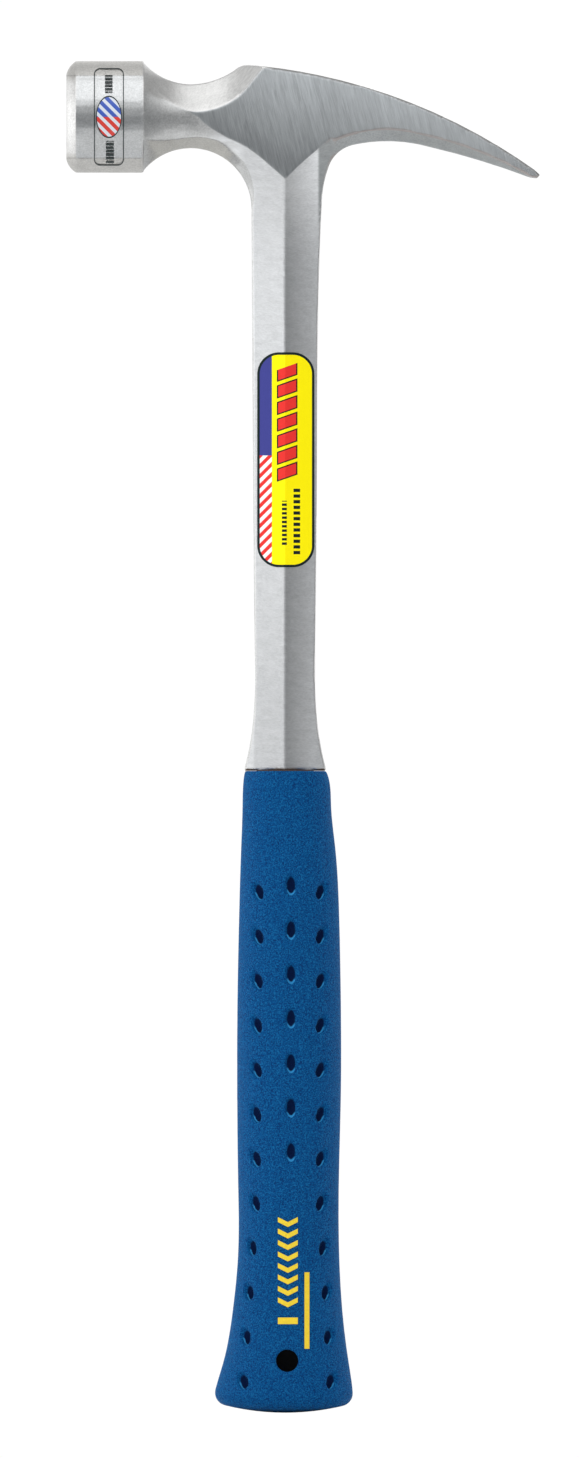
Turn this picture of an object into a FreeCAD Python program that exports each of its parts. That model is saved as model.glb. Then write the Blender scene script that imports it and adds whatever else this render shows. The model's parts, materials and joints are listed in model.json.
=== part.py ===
import FreeCAD, Part
import math
import os

# Claw hammer with a long straight claw, millimetres, head up.
# x runs from the striking face (-) to the claw (+), y across the head, z up the shank.
# The origin is where a rack's two prongs carry the underside of the head.

# poll and waist, round about an axis along x
poll_axis_z = 9.4
poll_radius = 16.8
face_x = -65.8
face_radius = 12.8
face_bevel_end_x = -62.9
face_bevel_middle_x = -65.0
face_bevel_middle_radius = 14.7
ground_band_half = 12.4
ground_band_depth = 0.15
poll_back_x = -42.7
neck_bend_x = -36.5
neck_bend_radius = 12.9
waist_x = -28.4
waist_radius = 11.4
waist_end_x = -19.0
neck_blend_left = -37.0
neck_blend_right = -6.0
neck_blend_top = 9.3
neck_blend_bottom = -14.0
neck_blend_reach = 5.0      # how far apart neck and facet may be and still flow together
neck_blend_least = 0.3
neck_blend_overlap = 1.5    # how far the cheek-wide part runs past the cheek on to the neck
neck_blend_fade = 7.0       # height over which the blend grows from least to full reach
neck_blend_inset = 0.05     # sits this far in, so that its edges stay distinct from its neighbours

# cheeks and claw
cheek_half = 11.6
claw_tip_half = 15.0
cheek_start_x = -29.3
flare_start_x = 10.0
claw_tip_x = 76.6
slot_root_x = 22.0
slot_root_half = 0.9
slot_tip_half_low = 4.2
slot_tip_half_high = 6.4

# ground hollows beside the waist
upper_hollow_slope = 1.13
lower_hollow_radius = 18.3
lower_strip_start = 5.6
lower_strip_slope = 0.75

# shank, a blunt roof on each broad side
ridge_half = 5.6
roof_slope_left = 0.315
roof_slope_right = 0.35
ridge_rise_radius = 114.4
ridge_rise_z = -45.6
shank_end_z = -186.9
shank_end_half = 12.3

# tang inside the grip
tang_half_width = 8.2
tang_half_thick = 3.2
tang_end_z = -346.0
bond_thickness = 0.35

# cushion grip
grip_top_z = -187.2
grip_bottom_z = -380.3
butt_round = 4.0
butt_dome_radius = 75.0
hang_hole_x = 0.6
hang_hole_z = -364.6
hang_hole_radius = 3.3
hang_hole_depth = 7.0
core_radius = 3.8

# stickers and paint
sticker_thickness = 0.15
shank_sticker = {"left": -8.4, "right": 8.8, "top": -61.4, "bottom": -126.0, "corner": 6.5}
poll_sticker = {"left": -57.5, "right": -48.5, "half_height": 14.7, "corner": 1.9}
paint_depth = 0.4
chevron_count = 8
chevron_top_z = -321.4
chevron_pitch = 3.45
chevron_left = -2.2
chevron_right = 3.8
chevron_dip = 1.5
chevron_thickness = 1.5
underline_top_z = -351.6
underline_bottom_z = -353.6
bar_left = 5.8
bar_right = 7.3
bar_top_z = -338.0
bar_bottom_z = -361.0

# the grip's hollows, three columns on each broad side
left_column_x = -8.5
right_column_x = 11.3
left_column_drift = 0.14    # each hollow stands this much further out than the one above
centre_column_x = 1.8
centre_column_lead = 1.5    # the middle column sits this much higher
hollow_pitch = 13.38
hollow_top_z = -223.1
hollow_half_long = 3.4
hollow_half_wide = 1.8
hollow_depth = 1.5
hollow_lean = 31.0
spread_row = 7              # below this row the side columns follow the flare outwards
spread = 0.75
side_column_count = 12
centre_column_count = 7

big = 60.0                  # longer than the head is across, for cutting right through


def vec(x, y, z):
    return FreeCAD.Vector(x, y, z)


def line(start, end):
    return Part.LineSegment(start, end).toShape()


def arc(start, middle, end):
    return Part.Arc(start, middle, end).toShape()


def curve(points):
    spline = Part.BSplineCurve()
    spline.interpolate(points)
    return spline.toShape()


def side(x, z):
    """A point of the side view, on the middle plane."""
    return vec(x, 0, z)


def slab(outline, half_thickness):
    """The side-view outline, given the same thickness to both sides of the middle plane."""
    face = Part.Face(Part.Wire(outline))
    face.translate(vec(0, -half_thickness, 0))
    return face.extrude(vec(0, 2 * half_thickness, 0))


def mirrored(shape):
    """The same shape on the other side of the middle plane."""
    return shape.mirror(vec(0, 0, 0), vec(0, 1, 0))


def block(x_low, x_high, y_low, y_high, z_low, z_high):
    return Part.makeBox(x_high - x_low, y_high - y_low, z_high - z_low, vec(x_low, y_low, z_low))


def poll_and_waist():
    """Striking face, its bevelled rim, the round poll and the hollow neck behind it."""
    def point(x, radius):
        return vec(x, 0, poll_axis_z + radius)

    profile = [
        line(point(face_x, 0), point(face_x, face_radius)),
        arc(point(face_x, face_radius), point(face_bevel_middle_x, face_bevel_middle_radius), point(face_bevel_end_x, poll_radius)),
        line(point(face_bevel_end_x, poll_radius), point(poll_back_x, poll_radius)),
        arc(point(poll_back_x, poll_radius), point(neck_bend_x, neck_bend_radius), point(waist_x, waist_radius)),
        line(point(waist_x, waist_radius), point(waist_end_x, waist_radius)),
        line(point(waist_end_x, waist_radius), point(waist_end_x, 0)),
        line(point(waist_end_x, 0), point(face_x, 0)),
    ]
    face = Part.Face(Part.Wire(profile))
    return face.revolve(vec(0, 0, poll_axis_z), vec(1, 0, 0), 360)


def ground_band():
    """Shallow turning that leaves raised, as-forged lands along the top and bottom of the poll."""
    length = poll_back_x - face_bevel_end_x
    place = vec(face_bevel_end_x, 0, poll_axis_z)
    outer = Part.makeCylinder(poll_radius + 1, length, place, vec(1, 0, 0))
    inner = Part.makeCylinder(poll_radius - ground_band_depth, length, place, vec(1, 0, 0))
    low = poll_axis_z - ground_band_half
    high = poll_axis_z + ground_band_half
    return outer.cut(inner).common(block(face_bevel_end_x, poll_back_x, -25, 25, low, high))


def mouth_bevels():
    """Steeper edges where the shank flares out to meet the grip."""
    bevels = []
    for direction, slope in ((-1, roof_slope_left), (1, roof_slope_right)):
        start = 9.5
        reach = 14.0
        depth = ridge_half - slope * start
        corners = [(start, depth), (reach, depth - 2.4), (reach, depth + 4), (start, depth + 4)]
        points = [vec(direction * x, -y, shank_end_z) for x, y in corners]
        wire = Part.makePolygon(points + points[:1])
        bevel = Part.Face(wire).extrude(vec(0, 0, 16))
        bevels += [bevel, mirrored(bevel)]
    return bevels


def head_outline():
    """Side view of the waist, cheek, claw and shank, down to the mouth of the grip."""
    waist_top = side(-28.6, 19.2)
    brow = side(-14.1, 24.3)
    crown = side(-10.3, 25.0)
    tip_top = side(74.8, -6.4)
    tip_end = side(claw_tip_x, -8.0)
    tip_low = side(75.8, -9.1)
    under_tip = side(73.7, -8.9)
    under_mid = side(43.6, 0.3)
    under_root = side(20.1, 0.9)
    armpit = side(13.2, -5.2)
    shank_right = side(11.0, -17.1)
    shank_left = side(waist_x + lower_hollow_radius, -lower_hollow_radius)
    mouth_right = side(shank_end_half, shank_end_z)
    mouth_left = side(-shank_end_half, shank_end_z)
    waist_low_left = side(poll_back_x, -6.9)
    waist_high_left = side(poll_back_x, 25.9)
    return [
        arc(waist_high_left, side(-35.8, 20.8), waist_top),
        arc(waist_top, side(-21.3, 20.4), brow),
        arc(brow, side(-12.5, 24.9), crown),
        arc(crown, side(46.6, 9.9), tip_top),
        line(tip_top, tip_end),
        line(tip_end, tip_low),
        line(tip_low, under_tip),
        arc(under_tip, side(59.8, -4.1), under_mid),
        arc(under_mid, side(31.0, 2.1), under_root),
        arc(under_root, side(15.6, -1.6), armpit),
        arc(armpit, side(11.6, -10.8), shank_right),
        curve([shank_right, side(10.1, -40), side(9.5, -105), side(9.05, -148), side(9.7, -173), mouth_right]),
        line(mouth_right, mouth_left),
        curve([mouth_left, side(-9.7, -173), side(-9.15, -148), side(-9.6, -105), side(-10.0, -40), shank_left]),
        arc(shank_left, side(waist_x, 0), waist_low_left),
        line(waist_low_left, waist_high_left),
    ]


def cheeks():
    """Plan view of the cheeks: parallel at the eye, then flaring out to the claw's tips."""
    near = [vec(cheek_start_x, cheek_half, 0), vec(flare_start_x, cheek_half, 0)]
    reach = claw_tip_x + 3
    flare_radius = ((reach - flare_start_x) ** 2) / (2 * (claw_tip_half - cheek_half))
    middle_x = (flare_start_x + reach) / 2
    middle_y = cheek_half + (middle_x - flare_start_x) ** 2 / (2 * flare_radius)
    outline = [line(near[0], near[1])]
    outline.append(arc(near[1], vec(middle_x, middle_y, 0), vec(reach, claw_tip_half, 0)))
    outline.append(line(vec(reach, claw_tip_half, 0), vec(reach, -claw_tip_half, 0)))
    outline.append(arc(vec(reach, -claw_tip_half, 0), vec(middle_x, -middle_y, 0), vec(flare_start_x, -cheek_half, 0)))
    outline.append(line(vec(flare_start_x, -cheek_half, 0), vec(cheek_start_x, -cheek_half, 0)))
    outline.append(line(vec(cheek_start_x, -cheek_half, 0), near[0]))
    face = Part.Face(Part.Wire(outline))
    face.translate(vec(0, 0, shank_end_z - 1))
    return face.extrude(vec(0, 0, big - shank_end_z))


def roof_half(slope, direction, extra):
    """One facet's half of the shank: bounded in front by the ridge line swept down the facet."""
    top_z = 33.0
    rise = top_z - ridge_rise_z
    ridge_at_top = ridge_half + ridge_rise_radius - math.sqrt(ridge_rise_radius ** 2 - rise ** 2)
    half_rise = rise / 2
    ridge_at_middle = ridge_half + ridge_rise_radius - math.sqrt(ridge_rise_radius ** 2 - half_rise ** 2)
    low = vec(0, -ridge_half - extra, shank_end_z - 2)
    start = vec(0, -ridge_half - extra, ridge_rise_z)
    middle = vec(0, -ridge_at_middle - extra, ridge_rise_z + half_rise)
    end = vec(0, -ridge_at_top - extra, top_z)
    back_high = vec(0, big, top_z)
    back_low = vec(0, big, shank_end_z - 2)
    profile = [line(low, start), arc(start, middle, end), line(end, back_high)]
    profile += [line(back_high, back_low), line(back_low, low)]
    face = Part.Face(Part.Wire(profile))
    reach = 85.0
    return face.extrude(vec(direction * reach, slope * reach, 0))


def roof(extra):
    """Everything behind the two front facets and in front of the two rear ones."""
    front = roof_half(roof_slope_left, -1, extra).fuse(roof_half(roof_slope_right, 1, extra))
    return front.common(mirrored(front))


def claw_region():
    """Right of this the facets no longer bound the head: the claw keeps the cheeks' full width."""
    outline = [
        line(side(14.3, 33), side(14.3, 2.8)),
        line(side(14.3, 2.8), side(20.0, -12.0)),
        line(side(20.0, -12.0), side(90, -25)),
        line(side(90, -25), side(90, 33)),
        line(side(90, 33), side(14.3, 33)),
    ]
    return slab(outline, 20.0)


def upper_hollows():
    """Slanting hollows ground into the upper corners of the waist, from poll to cheek."""
    end_y = 21.0
    start_y = 2.0
    edge = [
        curve([side(poll_back_x, 21.7), side(-36.4, 15.2), side(cheek_start_x, 11.3), side(-21.0, 12.0),
               side(-14.0, 15.8), side(-9.9, 20.4), side(-5.2, 26.2)]),
        line(side(-5.2, 26.2), side(-5.2, 50.0)),
        line(side(-5.2, 50.0), side(poll_back_x, 50.0)),
        line(side(poll_back_x, 50.0), side(poll_back_x, 21.7)),
    ]
    face = Part.Face(Part.Wire(edge))
    face.translate(vec(0, -start_y, (cheek_half - start_y) * upper_hollow_slope))
    length = end_y - start_y
    hollow_cut = face.extrude(vec(0, -length, -length * upper_hollow_slope))
    return [hollow_cut, mirrored(hollow_cut)]


def lower_strips():
    """The band left as forged along the lower edge of the waist."""
    end_y = 21.0
    end_radius = lower_hollow_radius + (end_y - lower_strip_start) * lower_strip_slope
    place = vec(waist_x, -lower_strip_start, -lower_hollow_radius)
    height = end_y - lower_strip_start
    cone = Part.makeCone(lower_hollow_radius, end_radius, height, place, vec(0, -1, 0))
    cone = cone.common(block(poll_back_x, 0, -25, 25, -30, 20))
    return [cone, mirrored(cone)]


def claw_underside_strips():
    """The slanting band under the claw, running down into the corner beside the shank."""
    lean_x = 0.6
    lean_z = 1.05
    start_y = 6.0
    end_y = 20.0
    edge = [
        line(side(10.6, -24.0), side(11.3, -3.9)),
        arc(side(11.3, -3.9), side(12.6, 0.2), side(15.2, 2.6)),
        arc(side(15.2, 2.6), side(26.0, 5.2), side(40.6, 3.6)),
        arc(side(40.6, 3.6), side(60.0, -3.1), side(79.0, -14.0)),
        line(side(79.0, -14.0), side(79.0, -40.0)),
        line(side(79.0, -40.0), side(10.6, -24.0)),
    ]
    face = Part.Face(Part.Wire(edge))
    inward = cheek_half - start_y
    face.translate(vec(lean_x * inward, -start_y, -lean_z * inward))
    length = end_y - start_y
    strip = face.extrude(vec(-lean_x * length, -length, lean_z * length))
    return [strip, mirrored(strip)]


def nail_slot():
    """Tapered slot between the claw's tines, wider above than below."""
    def outline(z, tip_half):
        reach = claw_tip_x + 4
        root_arc = arc(vec(slot_root_x, slot_root_half, z), vec(slot_root_x - slot_root_half, 0, z),
                       vec(slot_root_x, -slot_root_half, z))
        edges = [root_arc]
        edges.append(line(vec(slot_root_x, -slot_root_half, z), vec(reach, -tip_half, z)))
        edges.append(line(vec(reach, -tip_half, z), vec(reach, tip_half, z)))
        edges.append(line(vec(reach, tip_half, z), vec(slot_root_x, slot_root_half, z)))
        return Part.Wire(edges)

    return Part.makeLoft([outline(-14, slot_tip_half_low), outline(20, slot_tip_half_high)], True, True)


def flat_tongue(growth):
    """The tang's rounded flat bar, grown by the same amount all round."""
    width = tang_half_width + growth
    thick = tang_half_thick + growth
    body = block(-width, width, -thick, thick, tang_end_z - growth, shank_end_z + 2)
    upright = [edge for edge in body.Edges if abs(edge.Vertexes[0].Z - edge.Vertexes[1].Z) > 10]
    return body.makeFillet(1.5 + growth, upright)


def neck_depth(x, z):
    """Half thickness of the round neck at x, z, running on along its slope below the neck."""
    bend = Part.Circle(
        vec(poll_back_x, 0, poll_radius),
        vec(neck_bend_x, 0, neck_bend_radius),
        vec(waist_x, 0, waist_radius))
    radius = waist_radius
    if x < waist_x:
        radius = bend.Center.z - math.sqrt(bend.Radius ** 2 - (x - bend.Center.x) ** 2)
    below = abs(z - poll_axis_z)
    turn = 0.85 * radius
    edge = math.sqrt(radius ** 2 - turn ** 2)
    if below < turn:
        return math.sqrt(radius ** 2 - below ** 2)
    return edge - (below - turn) * turn / edge


def facet_depth(x, z):
    """Half thickness that the left front facet alone would give at x, z."""
    rise = max(z - ridge_rise_z, 0)
    ridge = ridge_half + ridge_rise_radius - math.sqrt(ridge_rise_radius ** 2 - rise ** 2)
    return ridge + roof_slope_left * x


def blended_depth(x, z):
    """The neck running smoothly into the facet, and meeting it sharply only at the cheek's corner."""
    neck = neck_depth(x, z)
    facet = facet_depth(x, z)
    fade = min(1, (neck_blend_top - z) / neck_blend_fade)
    reach = neck_blend_least + neck_blend_reach * fade
    overlap = max(reach - abs(neck - facet), 0) / reach
    return max(neck, facet) + overlap ** 2 * reach / 4 - neck_blend_inset


def neck_blend():
    """Front half of the smooth flow from the neck's underside down into the shank's left facet."""
    columns = 31
    rows = 24
    grid = []
    for column in range(columns):
        x = neck_blend_left + (neck_blend_right - neck_blend_left) * column / (columns - 1)
        grid.append([])
        for row in range(rows):
            z = neck_blend_bottom + (neck_blend_top - neck_blend_bottom) * row / (rows - 1)
            grid[-1].append(vec(x, -blended_depth(x, z), z))
    surface = Part.BSplineSurface()
    surface.interpolate(grid)
    return surface.toShape().extrude(vec(0, big, 0))


def forging():
    """Head, shank and tang, one piece of steel."""
    outline = slab(head_outline(), 20.0)
    faceted = cheeks().common(roof(0).fuse(claw_region()))
    body = faceted.fuse(poll_and_waist().common(block(poll_back_x, big, -25, 25, -30, 60)))
    left, right = neck_blend_left, neck_blend_right
    window = block(left, right, -25, 25, neck_blend_bottom, neck_blend_top)
    flow = neck_blend()
    beside_cheeks = block(cheek_start_x - neck_blend_overlap, right, -cheek_half, cheek_half, -30, 60)
    beside_neck = block(left, cheek_start_x - neck_blend_overlap, -25, 25, -30, 60)
    flow = flow.common(mirrored(flow)).common(beside_cheeks.fuse(beside_neck))
    body = body.cut(window).fuse(flow)
    body = body.common(outline)
    for cutter in upper_hollows() + lower_strips() + claw_underside_strips() + mouth_bevels():
        body = body.cut(cutter)
    body = body.cut(nail_slot())
    poll = poll_and_waist().common(block(-80, poll_back_x, -25, 25, -30, 60))
    return body.fuse([poll.cut(ground_band()), flat_tongue(0)]).removeSplitter()


def tang_bond():
    """Thin layer of bonding compound all round the tang, showing as a line at the grip's mouth."""
    sleeve = flat_tongue(bond_thickness).common(block(-20, 20, -20, 20, tang_end_z - 2, shank_end_z))
    seat = roof(0).common(block(-12.0, 12.0, -20, 20, grip_top_z, shank_end_z))
    bead = block(-3.6, 3.6, -ridge_half - 0.7, ridge_half + 0.7, grip_top_z, shank_end_z)
    return sleeve.fuse([seat, bead]).cut(flat_tongue(0)).removeSplitter()


def grip_section(z, left, right, half_depth, shrink):
    """One level oval of the grip, between its left and right edges."""
    half_width = (right - left) / 2 - shrink
    centre = vec((left + right) / 2, 0, z)
    oval = Part.Ellipse(centre, half_width, half_depth - shrink)
    return Part.Wire(oval.toShape())


def grip_body(shrink):
    """The grip's outer form: a long swell in the palm and a flared butt, fuller on the poll side."""
    stations = [
        (grip_top_z, -12.1, 12.3, 8.3),
        (-190, -12.6, 13.3, 9.0),
        (-198, -12.9, 13.9, 9.6),
        (-210, -13.3, 15.1, 10.5),
        (-230, -13.9, 16.3, 11.4),
        (-255, -14.4, 16.8, 11.9),
        (-286, -14.5, 16.8, 12.1),
        (-312, -14.2, 16.2, 11.9),
        (-332, -14.2, 16.3, 12.0),
        (-350, -15.9, 17.3, 12.6),
        (-364, -18.4, 19.0, 13.4),
        (-373, -21.0, 20.3, 14.0),
        (grip_bottom_z, -21.6, 20.2, 14.2),
    ]
    sections = [grip_section(z, left, right, depth, shrink) for z, left, right, depth in stations]
    return Part.makeLoft(sections, True, False)


def rounded_butt(body):
    """The grip's foot, round at its rim and slightly domed underneath."""
    dome = Part.makeSphere(butt_dome_radius, vec(0, 0, grip_bottom_z + butt_dome_radius))
    above = block(-60, 60, -60, 60, grip_bottom_z + 20, 0)
    domed = body.common(dome.fuse(above))
    rim = [edge for edge in domed.Edges if edge.BoundBox.ZMax < grip_bottom_z + 5]
    return domed.makeFillet(butt_round, rim)


def hollow(x, z, depth_y, lean):
    """A lens-shaped hollow pressed into the grip's broad side."""
    ball = Part.makeSphere(1.0)
    stretch = FreeCAD.Matrix()
    stretch.scale(hollow_half_wide, hollow_depth, hollow_half_long)
    pit = ball.transformGeometry(stretch)
    pit.rotate(vec(0, 0, 0), vec(0, 1, 0), lean)
    pit.translate(vec(x, -depth_y, z))
    return pit


def front_depth(body, x, z):
    """How far the grip's front surface stands out at this place."""
    inside = body.common(Part.makeLine(vec(x, -30, z), vec(x, 0, z)))
    return -min(vertex.Y for vertex in inside.Vertexes)


def hollows(body):
    """Three columns of hollows on each broad side: two long outer ones and a short middle one."""
    pits = []
    for row in range(side_column_count):
        z = hollow_top_z - row * hollow_pitch
        flare = max(0, row - spread_row) * spread
        left = left_column_x - left_column_drift * row - flare
        right = right_column_x + flare
        pits.append(hollow(left, z, front_depth(body, left, z), -hollow_lean))
        pits.append(hollow(right, z, front_depth(body, right, z), hollow_lean))
        if row < centre_column_count:
            centre_z = z + centre_column_lead
            pits.append(hollow(centre_column_x, centre_z, front_depth(body, centre_column_x, centre_z), 0))
    return pits


def upright_outline(points):
    wire = Part.makePolygon([side(x, z) for x, z in points + points[:1]])
    return Part.Face(wire)


def emblem_outlines():
    """A column of plain chevrons, underlined, with a straight bar beside its foot."""
    faces = []
    for step in range(chevron_count):
        top = chevron_top_z - step * chevron_pitch
        point_x = (chevron_left + chevron_right) / 2
        dip = top - chevron_dip
        low = top - chevron_thickness
        faces.append(upright_outline([
            (chevron_left, top), (point_x, dip), (chevron_right, top),
            (chevron_right, low), (point_x, dip - chevron_thickness), (chevron_left, low)]))
    faces.append(upright_outline([
        (chevron_left, underline_top_z), (chevron_right, underline_top_z),
        (chevron_right, underline_bottom_z), (chevron_left, underline_bottom_z)]))
    faces.append(upright_outline([
        (bar_left, bar_top_z), (bar_right, bar_top_z),
        (bar_right, bar_bottom_z), (bar_left, bar_bottom_z)]))
    return faces


def emblem_paint(outer, inner):
    """Yellow paint lying in the emblem pressed into the front of the grip."""
    skin = outer.cut(inner)
    pieces = []
    for face in emblem_outlines():
        face.translate(vec(0, -30, 0))
        pieces.append(skin.common(face.extrude(vec(0, 30, 0))))
    return pieces[0].fuse(pieces[1:])


def hang_hole(radius, length):
    place = vec(hang_hole_x, -length / 2, hang_hole_z)
    return Part.makeCylinder(radius, length, place, vec(0, 1, 0))


def rounded_plate(left, right, bottom, top, corner):
    """Upright plate with round corners, reaching forward from the middle plane."""
    plate = block(left, right, -30, 0, bottom, top)
    along_y = [edge for edge in plate.Edges if abs(edge.Vertexes[0].Y - edge.Vertexes[1].Y) > 1]
    return plate.makeFillet(corner, along_y)


def shank_label():
    """Printed sticker folded over the front ridge of the shank."""
    plate = rounded_plate(shank_sticker["left"], shank_sticker["right"], shank_sticker["bottom"],
                          shank_sticker["top"], shank_sticker["corner"])
    return roof(sticker_thickness).cut(roof(0)).common(plate)


def poll_decal(steel):
    """Clear printed transfer wrapped round the front of the poll."""
    low = poll_axis_z - poll_sticker["half_height"]
    high = poll_axis_z + poll_sticker["half_height"]
    plate = rounded_plate(poll_sticker["left"], poll_sticker["right"], low, high, poll_sticker["corner"])
    length = poll_sticker["right"] - poll_sticker["left"] + 2
    place = vec(poll_sticker["left"] - 1, 0, poll_axis_z)
    outer = Part.makeCylinder(poll_radius + sticker_thickness, length, place, vec(1, 0, 0))
    return outer.common(plate).cut(steel)


def save(shape, name):
    print(name, shape.isValid(), len(shape.Solids), round(shape.Volume, 1))
    shape.exportStep("parts/" + name + ".step")


os.makedirs("parts", exist_ok=True)
steel = forging()
bond = tang_bond()
outer_grip = rounded_butt(grip_body(0))
paint = emblem_paint(outer_grip, grip_body(paint_depth))
tang_room = flat_tongue(bond_thickness).common(block(-20, 20, -20, 20, tang_end_z - 2, shank_end_z))
grip = outer_grip.cut(tang_room)
grip = grip.cut(hang_hole(hang_hole_radius, 40))
pits = hollows(outer_grip)
grip = grip.cut(pits + [mirrored(pit) for pit in pits])
grip = grip.cut(paint)
grip_depth_at_hole = front_depth(outer_grip, hang_hole_x, hang_hole_z)
core = hang_hole(core_radius, 2 * (grip_depth_at_hole - hang_hole_depth))
grip = grip.cut(core)
save(steel, "forged_head_and_shank")
save(bond, "tang_bond")
save(grip, "cushion_grip")
save(core, "hang_hole_core")
save(paint, "grip_emblem_paint")
save(shank_label(), "shank_label")
save(poll_decal(steel), "poll_decal")
print("grip stands out at the hole by", round(grip_depth_at_hole, 2))
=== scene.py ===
import bpy
import json
import math
import numpy as np
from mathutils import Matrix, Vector


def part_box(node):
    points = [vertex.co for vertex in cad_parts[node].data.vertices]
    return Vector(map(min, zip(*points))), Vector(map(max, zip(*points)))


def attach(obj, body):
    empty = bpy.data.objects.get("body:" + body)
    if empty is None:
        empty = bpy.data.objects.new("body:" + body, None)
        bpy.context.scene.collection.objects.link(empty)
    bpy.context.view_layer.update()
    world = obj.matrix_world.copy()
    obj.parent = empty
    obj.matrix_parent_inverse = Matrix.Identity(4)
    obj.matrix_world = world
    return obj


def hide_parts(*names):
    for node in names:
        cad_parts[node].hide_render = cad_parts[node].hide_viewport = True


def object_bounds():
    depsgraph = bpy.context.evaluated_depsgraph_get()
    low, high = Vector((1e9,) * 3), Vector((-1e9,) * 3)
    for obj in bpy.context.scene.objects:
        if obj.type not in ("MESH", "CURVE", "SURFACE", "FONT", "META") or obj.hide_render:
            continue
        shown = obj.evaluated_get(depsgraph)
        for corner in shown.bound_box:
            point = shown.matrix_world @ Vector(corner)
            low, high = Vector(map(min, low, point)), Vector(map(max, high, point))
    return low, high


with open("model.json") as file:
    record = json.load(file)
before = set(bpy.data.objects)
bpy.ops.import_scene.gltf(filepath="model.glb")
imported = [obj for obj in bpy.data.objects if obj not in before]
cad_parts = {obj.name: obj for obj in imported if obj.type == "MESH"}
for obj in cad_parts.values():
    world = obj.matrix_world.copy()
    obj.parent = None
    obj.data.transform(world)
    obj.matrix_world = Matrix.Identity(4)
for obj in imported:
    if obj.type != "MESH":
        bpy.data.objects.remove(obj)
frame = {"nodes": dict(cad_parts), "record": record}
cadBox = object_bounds()
mm = 0.001

hammerLow, hammerHigh = cadBox
middle = (hammerLow + hammerHigh) / 2
labelLow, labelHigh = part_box("shank_label")
decalLow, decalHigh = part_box("poll_decal")
mountPlaces = {mount["name"]: Vector(mount["pos_m"]) for mount in frame["record"]["mounts"]}
faceCentre = mountPlaces["striking_face"]


def newMaterial(name):
    material = bpy.data.materials.new(name)
    material.use_nodes = True
    tree = material.node_tree
    return material, tree, tree.nodes["Principled BSDF"]


def plug(tree, socket, value):
    # links a socket, or sets a plain value
    if isinstance(value, bpy.types.NodeSocket):
        tree.links.new(value, socket)
    else:
        socket.default_value = value


def calc(tree, operation, a, b=0.0, c=0.0, clamp=False):
    node = tree.nodes.new("ShaderNodeMath")
    node.operation = operation
    node.use_clamp = clamp
    for socket, value in zip(node.inputs, (a, b, c)):
        plug(tree, socket, value)
    return node.outputs[0]


def product(tree, first, *others):
    for other in others:
        first = calc(tree, "MULTIPLY", first, other)
    return first


def lengthOf(tree, a, b):
    squares = calc(tree, "ADD", calc(tree, "MULTIPLY", a, a), calc(tree, "MULTIPLY", b, b))
    return calc(tree, "SQRT", squares)


def mixColour(tree, factor, a, b, blend="MIX"):
    node = tree.nodes.new("ShaderNodeMix")
    node.data_type = "RGBA"
    node.blend_type = blend
    plug(tree, node.inputs["Factor"], factor)
    plug(tree, node.inputs[6], a)
    plug(tree, node.inputs[7], b)
    return node.outputs[2]


def mixNumber(tree, factor, a, b):
    node = tree.nodes.new("ShaderNodeMix")
    node.data_type = "FLOAT"
    plug(tree, node.inputs["Factor"], factor)
    plug(tree, node.inputs[2], a)
    plug(tree, node.inputs[3], b)
    return node.outputs[0]


def smoothStep(tree, value, low, high):
    # zero at low and one at high, even where low is the larger
    node = tree.nodes.new("ShaderNodeMapRange")
    node.interpolation_type = "SMOOTHSTEP"
    plug(tree, node.inputs["Value"], value)
    plug(tree, node.inputs["From Min"], low)
    plug(tree, node.inputs["From Max"], high)
    return node.outputs["Result"]


def span(tree, value, low, high, soft):
    # one between low and high, with soft ends
    rising = smoothStep(tree, value, low - soft, low + soft)
    falling = smoothStep(tree, value, high + soft, high - soft)
    return calc(tree, "MULTIPLY", rising, falling)


def ramp(tree, value, low, high, atLow, atHigh):
    node = tree.nodes.new("ShaderNodeMapRange")
    plug(tree, node.inputs["Value"], value)
    for limit, number in (("From Min", low), ("From Max", high), ("To Min", atLow), ("To Max", atHigh)):
        node.inputs[limit].default_value = number
    return node.outputs["Result"]


def shaded(tree, colour, shade):
    # the colour made darker or lighter by a grey level
    grey = tree.nodes.new("ShaderNodeCombineColor")
    for socket in grey.inputs:
        plug(tree, socket, shade)
    return mixColour(tree, 1.0, colour, grey.outputs[0], "MULTIPLY")


def noiseAt(tree, vector, scale, detail, roughness=0.5):
    node = tree.nodes.new("ShaderNodeTexNoise")
    plug(tree, node.inputs["Vector"], vector)
    plug(tree, node.inputs["Scale"], scale)
    node.inputs["Detail"].default_value = detail
    node.inputs["Roughness"].default_value = roughness
    return node.outputs["Fac"]


def objectPlace(tree):
    # the place on the object, the same split into x, y and z, and the way the surface faces
    coords = tree.nodes.new("ShaderNodeTexCoord")
    split = tree.nodes.new("ShaderNodeSeparateXYZ")
    tree.links.new(coords.outputs["Object"], split.inputs[0])
    facing = tree.nodes.new("ShaderNodeSeparateXYZ")
    tree.links.new(coords.outputs["Normal"], facing.inputs[0])
    return coords.outputs["Object"], split.outputs, facing.outputs


def bumpFrom(tree, height, distance, strength):
    node = tree.nodes.new("ShaderNodeBump")
    node.inputs["Strength"].default_value = strength
    node.inputs["Distance"].default_value = distance
    plug(tree, node.inputs["Height"], height)
    return node.outputs["Normal"]


def newGroup(name, inputs, outputs):
    tree = bpy.data.node_groups.new(name, "ShaderNodeTree")
    for title, kind in inputs:
        tree.interface.new_socket(title, in_out="INPUT", socket_type=kind)
    for title, kind in outputs:
        tree.interface.new_socket(title, in_out="OUTPUT", socket_type=kind)
    start = tree.nodes.new("NodeGroupInput")
    end = tree.nodes.new("NodeGroupOutput")
    return tree, start.outputs, end.inputs


def placeGroup(tree, group, values):
    node = tree.nodes.new("ShaderNodeGroup")
    node.node_tree = group
    for title, value in values.items():
        plug(tree, node.inputs[title], value)
    return node.outputs


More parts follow.
